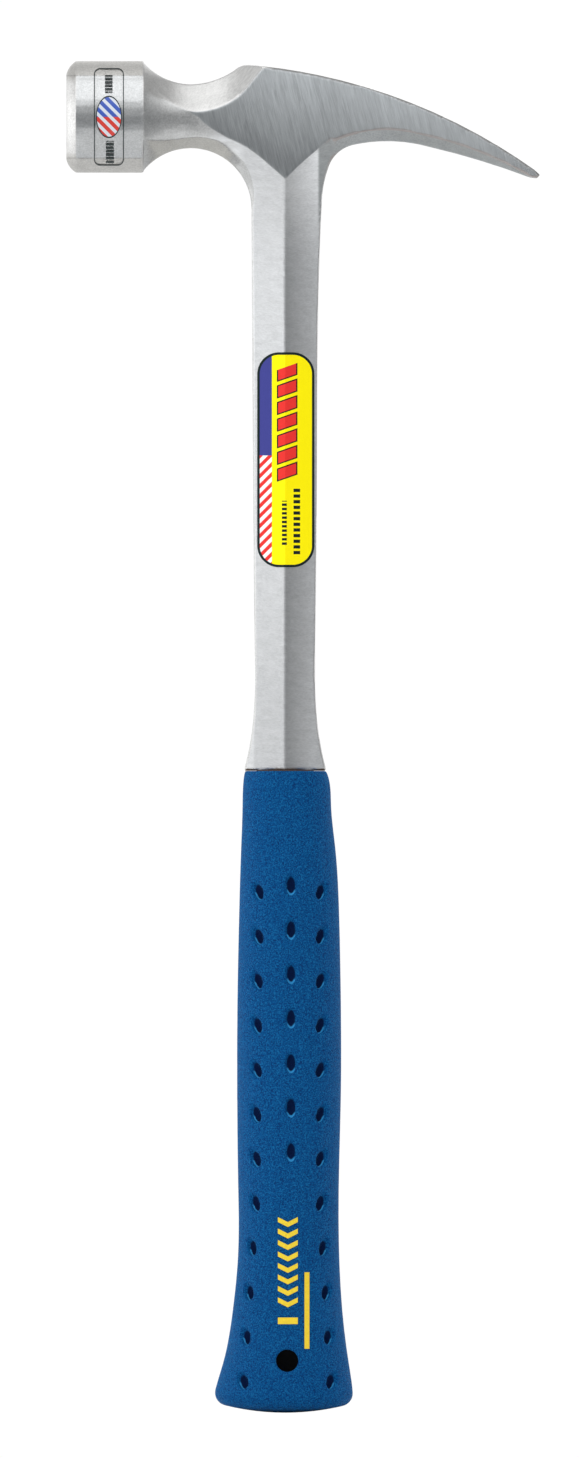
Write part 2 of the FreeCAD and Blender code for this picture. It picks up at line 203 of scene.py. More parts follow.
def buildGrindLines():
    # long fine scratches: noise squeezed across the lines and drawn out along them
    tree, inputs, outputs = newGroup(
        "grindLines",
        [("Place", "NodeSocketVector"), ("Turn", "NodeSocketFloat"),
         ("Lines per metre", "NodeSocketFloat"), ("Stretch", "NodeSocketFloat")],
        [("Lines", "NodeSocketFloat"), ("Coarse", "NodeSocketFloat")])
    spin = tree.nodes.new("ShaderNodeVectorRotate")
    spin.rotation_type = "Y_AXIS"
    tree.links.new(inputs["Place"], spin.inputs["Vector"])
    tree.links.new(inputs["Turn"], spin.inputs["Angle"])
    split = tree.nodes.new("ShaderNodeSeparateXYZ")
    tree.links.new(spin.outputs[0], split.inputs[0])
    across, depth, along = [calc(tree, "MULTIPLY", way, inputs["Lines per metre"]) for way in split.outputs]
    joined = tree.nodes.new("ShaderNodeCombineXYZ")
    for socket, value in zip(joined.inputs, (across, depth, calc(tree, "DIVIDE", along, inputs["Stretch"]))):
        plug(tree, socket, value)
    plug(tree, outputs["Lines"], noiseAt(tree, joined.outputs[0], scale=1.0, detail=3.0, roughness=0.6))
    plug(tree, outputs["Coarse"], noiseAt(tree, joined.outputs[0], scale=0.23, detail=2.0))
    return tree


def buildGrit():
    # fine all-over speckle, and a slower cloud of the same grain
    tree, inputs, outputs = newGroup(
        "grit",
        [("Place", "NodeSocketVector"), ("Grain", "NodeSocketFloat")],
        [("Speckle", "NodeSocketFloat"), ("Cloud", "NodeSocketFloat")])
    for title, factor, detail in (("Speckle", 1.0, 2.0), ("Cloud", 0.12, 3.0)):
        scale = calc(tree, "MULTIPLY", inputs["Grain"], factor)
        plug(tree, outputs[title], noiseAt(tree, inputs["Place"], scale, detail))
    return tree


grindLines = buildGrindLines()
grit = buildGrit()
print("stage: shared effects built")


def smoothed(mesh, passes):
    # a copy of the mesh after a number of even smoothing passes
    piece = bpy.data.objects.new("smoothing", mesh)
    bpy.context.scene.collection.objects.link(piece)
    smooth = piece.modifiers.new("smooth", "SMOOTH")
    smooth.factor = 0.5
    smooth.iterations = passes
    depsgraph = bpy.context.evaluated_depsgraph_get()
    result = bpy.data.meshes.new_from_object(piece.evaluated_get(depsgraph))
    bpy.data.objects.remove(piece)
    return result


def pointArray(mesh, what):
    values = np.empty(len(mesh.vertices) * 3, dtype=np.float32)
    mesh.vertices.foreach_get(what, values)
    return values.reshape(-1, 3)


def remeshed(node, voxel):
    # an even mesh of a CAD node's form, as a new mesh
    form = bpy.data.objects.new("form", frame["nodes"][node].data.copy())
    bpy.context.scene.collection.objects.link(form)
    remesh = form.modifiers.new("remesh", "REMESH")
    remesh.mode = "VOXEL"
    remesh.voxel_size = voxel
    depsgraph = bpy.context.evaluated_depsgraph_get()
    even = bpy.data.meshes.new_from_object(form.evaluated_get(depsgraph))
    bpy.data.objects.remove(form)
    return even


def evenPiece(name, node, look, material):
    # stands for a node: evenly meshed, with softened edges, and each point's relief noted
    even = remeshed(node, look["voxel"])
    mesh = smoothed(even, look["softening"])
    general = smoothed(even, look["lookback"])
    below = (pointArray(general, "co") - pointArray(mesh, "co")) * pointArray(general, "normal")
    relief = mesh.attributes.new("relief", "FLOAT", "POINT")
    relief.data.foreach_set("value", below.sum(axis=1) / mm)
    drawn = pointArray(mesh, "co") - pointArray(mesh, "normal") * look["drawnIn"]
    mesh.vertices.foreach_set("co", drawn.ravel())
    mesh.materials.clear()
    mesh.materials.append(material)
    mesh.shade_smooth()
    piece = bpy.data.objects.new(name, mesh)
    bpy.context.scene.collection.objects.link(piece)
    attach(piece, "root")
    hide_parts(node)
    print("made", name, "with", len(mesh.vertices), "points")


def reliefAt(tree):
    # millimetres below the general form: positive in pits, negative on edges
    relief = tree.nodes.new("ShaderNodeAttribute")
    relief.attribute_name = "relief"
    return relief.outputs["Fac"]


forging = {
    "voxel": 0.45 * mm,
    "softening": 1,  # smoothing passes on the shown mesh
    "lookback": 14,  # smoothing passes that leave the general form
    "drawnIn": 0.0,
    "cheekColour": (0.475, 0.50, 0.515, 1),
    "shankColour": (0.50, 0.51, 0.52, 1),
    "blastedColour": (0.42, 0.425, 0.425, 1),
    "forgedColour": (0.47, 0.465, 0.45, 1),
    "hollowColour": (0.52, 0.52, 0.515, 1),
    "bandColour": (0.44, 0.45, 0.455, 1),
    "rimColour": (0.62, 0.62, 0.615, 1),
    "stripColour": (0.40, 0.395, 0.375, 1),
    "underColour": (0.31, 0.325, 0.33, 1),
    "edgeHighlightColour": (0.58, 0.58, 0.575, 1),
    "crownEdgeShade": (0.13, 0.13, 0.13, 1),
    "burrColour": (0.30, 0.24, 0.22, 1),
    "blastGrain": 2100.0,
    "cheekLines": {"Turn": math.radians(14), "Lines per metre": 3500.0, "Stretch": 17.0},
    "shankLines": {"Turn": math.radians(86), "Lines per metre": 3200.0, "Stretch": 9.0},
    "hollowLines": {"Turn": math.radians(-32), "Lines per metre": 2300.0, "Stretch": 6.0},
    # painted shade and painted light along a finish: from one place to another, and the grey level at each
    "hollowPaintedShading": (-40 * mm, -14 * mm, 0.74, 1.18),
    "clawFacetShadeOutwards": (0.0, 10.5 * mm, 0.68, 1.25),
    "clawFacetShadeUpwards": (-60 * mm, -12 * mm, 1.0, 1.18),
    "pollFacetShadeUpwards": (-170 * mm, -110 * mm, 0.87, 1.02),
    "cheekPaintedShade": (-4 * mm, 24 * mm, 0.58, 1.32),
    "paintedShadeTilt": 0.15,
    "paintedShadeLeftTilt": 0.3,
    # how strongly scratches and clouding show on each finish
    "blastContrast": 0.65,
    "shankContrast": 0.5,
    "cheekContrast": 0.55,
    "blastDrift": 0.28,
    "cheekDrift": 0.32,
    # how much darker or lighter each small feature is: painted shade on the poll's ledge and along the
    # waist's crease, painted highlights on the line above it, on the upward waist and on the edges, painted
    # shade on the crown's edges, and the burr's own colour
    "ledgeShade": 0.33,
    "creaseLineShade": 0.22,
    "highlightLineLight": 0.24,
    "upperLight": 0.30,
    "edgeHighlightShare": 0.5,
    "crownEdgeShadeShare": 0.9,
    "burrShare": 0.5,
    "metallic": 0.92,
    "leastRoughness": 0.3,
    "roughnessSpread": 0.2,
    "landRoughness": 0.55,
    "bandRoughness": 0.31,
    "bandBumps": 0.35,
    "bumpHeight": 0.1 * mm,
    "bumpStrength": 0.55,
    # where the finishes begin and end
    "bevelEnd": -62.9 * mm,
    "pollBack": -42.7 * mm,
    "bandHalf": 12.4 * mm,
    "ledgeHalf": 0.15 * mm,
    "rimFade": (12.5 * mm, 10.0 * mm),
    "cheekLeft": -29.4 * mm,
    "cheekOutwards": (11.44 * mm, 11.54 * mm),
    "cheekFoot": -12.0 * mm,
    "waistRight": -13 * mm,
    "hollowRight": -2 * mm,
    "shankStart": (-30 * mm, -20 * mm),
    "clawFacetStart": (-0.1 * mm, 0.3 * mm),
    "underStart": (9.5 * mm, 10.5 * mm),
    "crownStart": (-8 * mm, -4 * mm),
    "burrStart": (11 * mm, 15 * mm),
    # how far a surface faces sideways or up, from where its finish, painted shade or painted highlight
    # begins to where it is full
    "cheekSideways": (0.93, 0.97),
    "shankSideways": (0.80, 0.88),
    "hollowSideways": (0.10, 0.2),
    "hollowUp": (0.34, 0.42),
    "upperUp": (-0.05, 0.32),
    "stripUp": (-0.60, -0.68),
    "creaseLineUp": (-0.66, -0.56),
    "highlightLineUp": (-0.52, -0.34),
    "underUp": (-0.12, -0.25),
    "crownUp": (0.05, 0.25),
    "burrUp": (-0.04, -0.12),
    "burrDown": (-0.62, -0.5),
    # relief in millimetres, from where the painted edge highlight and the burr begin to where they are full
    "edgeRelief": (-0.05, -0.16),
    "burrRelief": (-0.035, -0.07),
    "burrRagged": 0.05,
}


def cheekAndShankZones(tree, at, sideways):
    cheek = product(tree,
                    smoothStep(tree, sideways, *forging["cheekSideways"]),
                    smoothStep(tree, calc(tree, "ABSOLUTE", at[1]), *forging["cheekOutwards"]),
                    calc(tree, "GREATER_THAN", at[2], forging["cheekFoot"]),
                    calc(tree, "GREATER_THAN", at[0], forging["cheekLeft"]))
    # the shank's facets: everything below the cheeks and right of the waist
    shank = product(tree,
                    smoothStep(tree, sideways, *forging["shankSideways"]),
                    smoothStep(tree, calc(tree, "SUBTRACT", at[0], at[2]), *forging["shankStart"]),
                    calc(tree, "SUBTRACT", 1.0, cheek))
    return {"cheek": cheek, "shank": shank}


def pollZones(tree, at):
    # a turned band round the poll, as-forged lands above and below it, and a ledge between them
    half = forging["bandHalf"]
    offAxis = calc(tree, "ABSOLUTE", calc(tree, "SUBTRACT", at[2], faceCentre.z))
    poll = calc(tree, "LESS_THAN", at[0], forging["pollBack"])
    band = product(tree,
                   span(tree, at[0], forging["bevelEnd"], forging["pollBack"], 0.05 * mm),
                   smoothStep(tree, offAxis, half + 0.15 * mm, half - 0.1 * mm))
    ledgeSpan = span(tree, offAxis, half - forging["ledgeHalf"], half + forging["ledgeHalf"], 0.25 * mm)
    return {
        "poll": poll,
        "band": band,
        "lands": calc(tree, "MULTIPLY", poll, calc(tree, "SUBTRACT", 1.0, band)),
        "ledge": calc(tree, "MULTIPLY", ledgeSpan, poll),
        "rim": product(tree, calc(tree, "LESS_THAN", at[0], forging["bevelEnd"]),
                       smoothStep(tree, offAxis, *forging["rimFade"])),
    }


def waistZones(tree, at, facing, sideways):
    # the hollow ground into the upper corner, the upward-facing waist that gets painted light, and the
    # as-forged strip below, with a painted shade line along its crease and a painted highlight line above
    # that
    up = facing[2]
    waist = span(tree, at[0], forging["pollBack"] + 1.5 * mm, forging["waistRight"], 1.5 * mm)
    hollow = product(tree,
                     smoothStep(tree, up, *forging["hollowUp"]),
                     span(tree, at[0], forging["pollBack"], forging["hollowRight"], 0.4 * mm),
                     smoothStep(tree, sideways, *forging["hollowSideways"]))
    return {
        "hollow": hollow,
        "upper": product(tree, smoothStep(tree, up, *forging["upperUp"]), waist),
        "strip": product(tree, smoothStep(tree, up, *forging["stripUp"]), waist),
        "creaseLine": product(tree, span(tree, up, *forging["creaseLineUp"], 0.03), waist),
        "highlightLine": product(tree, span(tree, up, *forging["highlightLineUp"], 0.08), waist),
        "under": product(tree, smoothStep(tree, at[0], *forging["underStart"]),
                         smoothStep(tree, up, *forging["underUp"])),
    }


def steelLines(tree, place, zones, speckle):
    # the finest marks of each finish, and their slower clouding
    shownLines = speckle["Speckle"]
    shownClouds = speckle["Cloud"]
    for zone, hasClouds in (("hollow", False), ("shank", True), ("cheek", True)):
        ground = placeGroup(tree, grindLines, {"Place": place, **forging[zone + "Lines"]})
        shownLines = mixNumber(tree, zones[zone], shownLines, ground["Lines"])
        if hasClouds:
            shownClouds = mixNumber(tree, zones[zone], shownClouds, ground["Coarse"])
    return shownLines, shownClouds


def steelColour(tree, at, zones):
    # colour of each finish, with painted shade on the hollow, the shank's facets and the cheeks, before
    # scratches, painted highlights and the burr
    colour = mixColour(tree, zones["poll"], forging["blastedColour"], forging["forgedColour"])
    for zone in ("band", "rim", "strip"):
        colour = mixColour(tree, zones[zone], colour, forging[zone + "Colour"])
    # painted light on the ground hollow: darker at its poll end, lighter to the right
    hollowPaintedShade = ramp(tree, at[0], *forging["hollowPaintedShading"])
    colour = mixColour(tree, zones["hollow"], colour, shaded(tree, forging["hollowColour"], hollowPaintedShade))
    colour = mixColour(tree, zones["shank"], colour, forging["shankColour"])
    # painted shade on the shank's facets: the claw-side facet is darker along the ridge and lighter at its
    # edge and up by the head, the poll-side facet darker lower down
    outwards = ramp(tree, at[0], *forging["clawFacetShadeOutwards"])
    upwards = ramp(tree, at[2], *forging["clawFacetShadeUpwards"])
    pollSidePaintedShade = ramp(tree, at[2], *forging["pollFacetShadeUpwards"])
    clawSide = smoothStep(tree, at[0], *forging["clawFacetStart"])
    facetPaintedShade = mixNumber(tree, clawSide, pollSidePaintedShade, calc(tree, "MULTIPLY", outwards, upwards))
    colour = mixColour(tree, zones["shank"], colour, shaded(tree, colour, facetPaintedShade))
    colour = mixColour(tree, zones["under"], colour, forging["underColour"])
    # painted shade on the cheeks: lighter towards the crown, darker towards the shank and towards the poll
    leftwards = calc(tree, "MULTIPLY", calc(tree, "MINIMUM", at[0], 0.0), forging["paintedShadeLeftTilt"])
    height = calc(tree, "ADD", calc(tree, "MULTIPLY_ADD", at[0], forging["paintedShadeTilt"], at[2]), leftwards)
    cheekShadeLevel = ramp(tree, height, *forging["cheekPaintedShade"])
    return mixColour(tree, zones["cheek"], colour, shaded(tree, forging["cheekColour"], cheekShadeLevel))


def scratchedAndShaded(tree, colour, lines, clouds, zones):
    # scratches and slow cloudiness darken or lighten whatever finish lies under them, and painted shade and
    # painted highlights are laid on top
    contrast = mixNumber(tree, zones["shank"], forging["blastContrast"], forging["shankContrast"])
    contrast = mixNumber(tree, zones["cheek"], contrast, forging["cheekContrast"])
    drift = mixNumber(tree, zones["cheek"], forging["blastDrift"], forging["cheekDrift"])
    slow = calc(tree, "MULTIPLY", calc(tree, "SUBTRACT", clouds, 0.5), drift)
    fast = calc(tree, "MULTIPLY", calc(tree, "SUBTRACT", lines, 0.5), contrast)
    shade = calc(tree, "ADD", calc(tree, "ADD", slow, 1.0), fast)
    # painted shade on the poll's ledge and along the waist's crease, a painted highlight line above the
    # crease, and painted light on the upward-facing waist
    shade = calc(tree, "MULTIPLY_ADD", zones["ledge"], -forging["ledgeShade"], shade)
    shade = calc(tree, "MULTIPLY_ADD", zones["creaseLine"], -forging["creaseLineShade"], shade)
    shade = calc(tree, "MULTIPLY_ADD", zones["highlightLine"], forging["highlightLineLight"], shade)
    upperOnly = calc(tree, "SUBTRACT", zones["upper"], zones["hollow"], clamp=True)
    shade = calc(tree, "MULTIPLY_ADD", upperOnly, forging["upperLight"], shade)
    return shaded(tree, colour, shade)


def edgeHighlightsAndBurr(tree, colour, at, facing, speckle):
    # edges are painted lighter, a painted highlight, but painted dark along the crown, a painted shade, with
    # a brownish burr under the claw
    relief = reliefAt(tree)
    edge = smoothStep(tree, relief, *forging["edgeRelief"])
    crown = product(tree, smoothStep(tree, at[0], *forging["crownStart"]),
                    smoothStep(tree, facing[2], *forging["crownUp"]))
    edgeColour = mixColour(tree, crown, forging["edgeHighlightColour"], forging["crownEdgeShade"])
    edgeShare = mixNumber(tree, crown, forging["edgeHighlightShare"], forging["crownEdgeShadeShare"])
    colour = mixColour(tree, calc(tree, "MULTIPLY", edge, edgeShare), colour, edgeColour)
    raggedRelief = calc(tree, "MULTIPLY_ADD", speckle["Speckle"], -forging["burrRagged"], relief)
    burr = product(tree,
                   smoothStep(tree, raggedRelief, *forging["burrRelief"]),
                   smoothStep(tree, at[0], *forging["burrStart"]),
                   smoothStep(tree, facing[2], *forging["burrUp"]),
                   smoothStep(tree, facing[2], *forging["burrDown"]),
                   forging["burrShare"])
    return mixColour(tree, burr, colour, forging["burrColour"])


def steelMaterial():
    material, tree, shader = newMaterial("forgedSteel")
    place, at, facing = objectPlace(tree)
    sideways = calc(tree, "ABSOLUTE", facing[1])
    zones = {
        **cheekAndShankZones(tree, at, sideways),
        **pollZones(tree, at),
        **waistZones(tree, at, facing, sideways),
    }
    speckle = placeGroup(tree, grit, {"Place": place, "Grain": forging["blastGrain"]})
    lines, clouds = steelLines(tree, place, zones, speckle)
    colour = scratchedAndShaded(tree, steelColour(tree, at, zones), lines, clouds, zones)
    plug(tree, shader.inputs["Base Color"], edgeHighlightsAndBurr(tree, colour, at, facing, speckle))
    shader.inputs["Metallic"].default_value = forging["metallic"]
    rough = calc(tree, "MULTIPLY_ADD", lines, forging["roughnessSpread"], forging["leastRoughness"])
    rough = mixNumber(tree, zones["lands"], rough, forging["landRoughness"])
    rough = mixNumber(tree, zones["band"], rough, forging["bandRoughness"])
    plug(tree, shader.inputs["Roughness"], rough)
    bumps = mixNumber(tree, zones["band"], lines, calc(tree, "MULTIPLY", lines, forging["bandBumps"]))
    normal = bumpFrom(tree, bumps, forging["bumpHeight"], forging["bumpStrength"])
    plug(tree, shader.inputs["Normal"], normal)
    return material


evenPiece("steelForging", "forged_head_and_shank", forging, steelMaterial())
print("stage: steel made")

grip = {
    "voxel": 0.5 * mm,
    "softening": 1,
    "lookback": 240,
    "drawnIn": 0.06 * mm,  # a hair, so that the paint on the grip stays clear
    "blue": (0.0004, 0.067, 0.225, 1),
    "lightBlue": (0.006, 0.125, 0.33, 1),
    "darkBlue": (0.001, 0.030, 0.13, 1),
    "lipHighlightBlue": (0.03, 0.26, 0.58, 1),
    "pitShadeBlue": (0.0006, 0.008, 0.045, 1),
    "grain": 2600.0,
    "lightSpeckle": (0.50, 0.66),
    "darkSpeckle": (0.47, 0.34),
    # relief of the hollows in millimetres
    "pitRelief": (0.28, 0.55),
    "lipRelief": (0.14, 0.22),
    "lipEndRelief": (0.62, 0.45),
    "lipUp": (0.16, 0.34),
    "leastRoughness": 0.48,
    "roughnessSpread": 0.2,
    "specular": 0.05,
    "sheen": 0.22,
    "sheenRoughness": 0.35,
    "sheenTint": (0.10, 0.45, 0.95, 1),
    "bumpHeight": 0.7 * mm,
    "bumpStrength": 0.8,
}


def gripMaterial():
    material, tree, shader = newMaterial("blueVinyl")
    place, at, facing = objectPlace(tree)
    grain = placeGroup(tree, grit, {"Place": place, "Grain": grip["grain"]})
    light = smoothStep(tree, grain["Speckle"], *grip["lightSpeckle"])
    dark = smoothStep(tree, grain["Speckle"], *grip["darkSpeckle"])
    colour = mixColour(tree, light, grip["blue"], grip["lightBlue"])
    colour = mixColour(tree, dark, colour, grip["darkBlue"])
    # the hollows are painted dark inside, a painted shade, with a painted highlight on the lower lip where
    # the wall faces up
    relief = reliefAt(tree)
    colour = mixColour(tree, smoothStep(tree, relief, *grip["pitRelief"]), colour, grip["pitShadeBlue"])
    lip = product(tree,
                  smoothStep(tree, relief, *grip["lipRelief"]),
                  smoothStep(tree, facing[2], *grip["lipUp"]),
                  smoothStep(tree, relief, *grip["lipEndRelief"]))
    plug(tree, shader.inputs["Base Color"], mixColour(tree, lip, colour, grip["lipHighlightBlue"]))
    rough = calc(tree, "MULTIPLY_ADD", grain["Cloud"], grip["roughnessSpread"], grip["leastRoughness"])
    plug(tree, shader.inputs["Roughness"], rough)
    shader.inputs["Specular IOR Level"].default_value = grip["specular"]
    shader.inputs["Sheen Weight"].default_value = grip["sheen"]
    shader.inputs["Sheen Roughness"].default_value = grip["sheenRoughness"]
    shader.inputs["Sheen Tint"].default_value = grip["sheenTint"]
    bumps = bumpFrom(tree, grain["Speckle"], grip["bumpHeight"], grip["bumpStrength"])
    plug(tree, shader.inputs["Normal"], bumps)
    return material


evenPiece("vinylGrip", "cushion_grip", grip, gripMaterial())
print("stage: grip made")


def roundedEdge(tree, x, z, low, high, corner):
    # signed distance to a rounded rectangle, negative inside
    reach = []
    for value, start, end in ((x, low.x, high.x), (z, low.z, high.z)):
        fromCentre = calc(tree, "ABSOLUTE", calc(tree, "SUBTRACT", value, (start + end) / 2))
        reach.append(calc(tree, "SUBTRACT", fromCentre, (end - start) / 2 - corner))
    outside = lengthOf(tree, *[calc(tree, "MAXIMUM", way, 0.0) for way in reach])
    inside = calc(tree, "MINIMUM", calc(tree, "MAXIMUM", *reach), 0.0)
    return calc(tree, "SUBTRACT", calc(tree, "ADD", outside, inside), corner)


def stripesAlong(tree, value, pitch, share):
    # one on the marks of an even row, zero on the gaps
    swing = calc(tree, "PINGPONG", calc(tree, "ADD", value, 1.0), pitch / 2)
    return calc(tree, "LESS_THAN", swing, share * pitch / 2)


def markRow(tree, across, along, left, right, start, end, pitch, share):
    # a straight row of even marks, one over another
    return product(tree,
                   calc(tree, "GREATER_THAN", across, left), calc(tree, "LESS_THAN", across, right),
                   calc(tree, "GREATER_THAN", along, start), calc(tree, "LESS_THAN", along, end),
                   stripesAlong(tree, along, pitch, share))


label = {
    "border": 0.75 * mm,
    "corner": 6.5 * mm,
    # sizes from here on in millimetres, from the label's left and top edges
    "stripWide": 4.4,
    "blueLong": 31.0,
    "hatchPitch": 3.0,
    "hatchShare": 0.5,
    "blockSlant": 0.35,
    "blockOutlines": {"left": 5.9, "right": 12.1, "start": 7.4, "end": 41.6, "pitch": 5.0, "share": 0.80},
    "blockFills": {"left": 6.3, "right": 11.7, "start": 7.4, "end": 42.4, "pitch": 5.0, "share": 0.64},
    "tally": {"left": 10.9, "right": 12.9, "start": 41.0, "end": 61.4, "pitch": 1.7, "share": 0.6},
    "smallTally": {"left": 7.4, "right": 8.9, "start": 44.6, "end": 58.2, "pitch": 1.3, "share": 0.6},
    "yellow": (0.99, 0.86, 0.0, 1),
    "ink": (0.006, 0.016, 0.016, 1),
    "blue": (0.05, 0.055, 0.27, 1),
    "red": (0.80, 0.035, 0.03, 1),
    "white": (0.9, 0.9, 0.9, 1),
    "inkGrain": 3000.0,
    "roughness": 0.5,
    "specular": 0.12,
}


def labelMaterial():
    material, tree, shader = newMaterial("printedLabel")
    place, at, facing = objectPlace(tree)
    x = calc(tree, "DIVIDE", calc(tree, "SUBTRACT", at[0], labelLow.x), mm)
    down = calc(tree, "DIVIDE", calc(tree, "SUBTRACT", labelHigh.z, at[2]), mm)
    edge = roundedEdge(tree, at[0], at[2], labelLow, labelHigh, label["corner"])
    rim = calc(tree, "GREATER_THAN", edge, -label["border"])
    # a straight strip down the left side: plain blue above, slanted red and white hatching below
    hatched = stripesAlong(tree, calc(tree, "ADD", x, down), label["hatchPitch"], label["hatchShare"])
    hatching = mixColour(tree, hatched, label["white"], label["red"])
    strip = mixColour(tree, calc(tree, "LESS_THAN", down, label["blueLong"]), hatching, label["blue"])
    colour = mixColour(tree, calc(tree, "LESS_THAN", x, label["stripWide"]), label["yellow"], strip)
    # slanted red blocks with dark outlines, and fine tally marks below them
    slant = calc(tree, "MULTIPLY_ADD", x, label["blockSlant"], down)
    colour = mixColour(tree, markRow(tree, x, slant, **label["blockOutlines"]), colour, label["ink"])
    colour = mixColour(tree, markRow(tree, x, slant, **label["blockFills"]), colour, label["red"])
    tallies = calc(tree, "MAXIMUM", markRow(tree, x, down, **label["tally"]),
                   markRow(tree, x, down, **label["smallTally"]))
    colour = mixColour(tree, calc(tree, "MAXIMUM", tallies, rim), colour, label["ink"])
    # ink density drifts a little, as print on vinyl does
    inkGrain = placeGroup(tree, grit, {"Place": place, "Grain": label["inkGrain"]})
    density = calc(tree, "MULTIPLY_ADD", inkGrain["Speckle"], 0.08, 0.96)
    plug(tree, shader.inputs["Base Color"], shaded(tree, colour, density))
    shader.inputs["Roughness"].default_value = label["roughness"]
    shader.inputs["Specular IOR Level"].default_value = label["specular"]
    return material


decal = {
    "border": 0.27 * mm,
    "corner": 1.9 * mm,
    # sizes from here on in millimetres, from the middle of the transfer
    "ovalWide": 3.9,
    "ovalHigh": 6.4,
    "ovalInk": 0.93,  # where the oval's dark rim starts, as a share of its size
    "hatchPitch": 3.0,
    "hatchShare": 0.55,
    "upperTally": {"left": -1.2, "right": 1.1, "start": 7.4, "end": 12.6, "pitch": 1.05, "share": 0.55},
    "lowerTally": {"left": -0.9, "right": 1.5, "start": -14.0, "end": -7.4, "pitch": 1.05, "share": 0.55},
    "pearl": (0.62, 0.66, 0.72, 1),
    "red": (0.60, 0.035, 0.025, 1),
    "blue": (0.035, 0.09, 0.42, 1),
    "ink": (0.006, 0.016, 0.016, 1),
    "roughness": 0.4,
}


def decalMaterial():
    # a clear transfer that shows only its ink and its oval
    material, tree, shader = newMaterial("pollTransfer")
    place, at, facing = objectPlace(tree)
    centreX = (decalLow.x + decalHigh.x) / 2
    across = calc(tree, "DIVIDE", calc(tree, "SUBTRACT", at[0], centreX), mm)
    upright = calc(tree, "DIVIDE", calc(tree, "SUBTRACT", at[2], faceCentre.z), mm)
    edge = roundedEdge(tree, at[0], at[2], decalLow, decalHigh, decal["corner"])
    rim = calc(tree, "GREATER_THAN", edge, -decal["border"])
    oval = lengthOf(tree, calc(tree, "DIVIDE", across, decal["ovalWide"]),
                    calc(tree, "DIVIDE", upright, decal["ovalHigh"]))
    inOval = calc(tree, "LESS_THAN", oval, 1.0)
    ovalRim = calc(tree, "MULTIPLY", inOval, calc(tree, "GREATER_THAN", oval, decal["ovalInk"]))
    # straight slanted hatching, blue in the upper half and red in the lower
    slant = calc(tree, "ADD", across, upright)
    hatched = stripesAlong(tree, slant, decal["hatchPitch"], decal["hatchShare"])
    hatchColour = mixColour(tree, calc(tree, "GREATER_THAN", upright, 0.0), decal["red"], decal["blue"])
    motif = mixColour(tree, hatched, decal["pearl"], hatchColour)
    tallies = calc(tree, "MAXIMUM", markRow(tree, across, upright, **decal["upperTally"]),
                   markRow(tree, across, upright, **decal["lowerTally"]))
    ink = calc(tree, "MAXIMUM", calc(tree, "MAXIMUM", rim, ovalRim), tallies)
    plug(tree, shader.inputs["Base Color"], mixColour(tree, ink, motif, decal["ink"]))
    plug(tree, shader.inputs["Alpha"], calc(tree, "MAXIMUM", ink, inOval))
    shader.inputs["Roughness"].default_value = decal["roughness"]
    return material


emblemPaint = {"colour": (0.95, 0.68, 0.02, 1), "roughness": 0.5, "grain": 1500.0, "bumpHeight": 0.2 * mm}
# the hang hole's core is near black, painted shade standing in for the shadow in the hole
holeShadeCore = {"colour": (0.0006, 0.0006, 0.0006, 1), "roughness": 0.95, "grain": 900.0, "bumpHeight": 0.1 * mm}
tangBond = {"colour": (0.12, 0.065, 0.04, 1), "roughness": 0.7, "grain": 1200.0, "bumpHeight": 0.1 * mm}


def grittyMaterial(name, look):
    # one colour, darker in the lows of a fine grain
    material, tree, shader = newMaterial(name)
    place, at, facing = objectPlace(tree)
    grain = placeGroup(tree, grit, {"Place": place, "Grain": look["grain"]})
    darker = tuple(channel * 0.7 for channel in look["colour"][:3]) + (1,)
    plug(tree, shader.inputs["Base Color"], mixColour(tree, grain["Speckle"], darker, look["colour"]))
    shader.inputs["Roughness"].default_value = look["roughness"]
    plug(tree, shader.inputs["Normal"], bumpFrom(tree, grain["Speckle"], look["bumpHeight"], 0.5))
    return material


finishes = {
    "shank_label": labelMaterial(),
    "poll_decal": decalMaterial(),
    "grip_emblem_paint": grittyMaterial("yellowPaint", emblemPaint),
    "hang_hole_core": grittyMaterial("holeShadeBlack", holeShadeCore),
    "tang_bond": grittyMaterial("brownBond", tangBond),
}
for node, finish in finishes.items():
    shown = frame["nodes"][node]
    shown.data.materials.clear()
    shown.data.materials.append(finish)
print("stage: finishes placed")

shankMiddle = (0, 0, -0.12)
studio = {
    "floorRadius": 0.9,
    "floorGap": 0.4 * mm,
    "floorColour": (0.92, 0.92, 0.92, 1),
    "floorRoughness": 0.8,
    "floorFade": (0.42, 0.10),  # how far out the floor has gone, and where it starts to fade
    "roomGrey": (0.68, 0.68, 0.68, 1),
    "screenGrey": (0.28, 0.29, 0.30, 1),
    "backdropWhite": (1.02, 1.02, 1.02, 1),
    "frontScreen": {"way": (0.1, -1.0, -0.35), "edge": (0.78, 0.98)},
    "rightScreen": {"way": (0.9, -0.45, -0.1), "edge": (0.86, 0.98)},
    "frameHeight": 0.4384,
    "rightOfMiddle": -4.1 * mm,
    "aboveMiddle": 2.4 * mm,
    "distance": 1.6,
}
softboxes = {
    "topSoftbox": {"place": (0.0, -0.56, 1.02), "aim": (0, 0, 0), "size": (1.5, 1.45), "power": 9.4},
    "leftSoftbox": {"place": (-1.15, -0.75, -0.1), "aim": shankMiddle, "size": (1.35, 1.1), "power": 7.0},
    "backSoftbox": {"place": (0.2, 1.3, 0.5), "aim": shankMiddle, "size": (1.4, 0.9), "power": 4.6},
    "edgeSoftbox": {"place": (-1.3, 0.5, 0.0), "aim": shankMiddle, "size": (0.9, 1.1), "power": 5.2},
    "farEdgeSoftbox": {"place": (1.3, 0.7, 0.0), "aim": shankMiddle, "size": (0.6, 1.1), "power": 3.6},
}


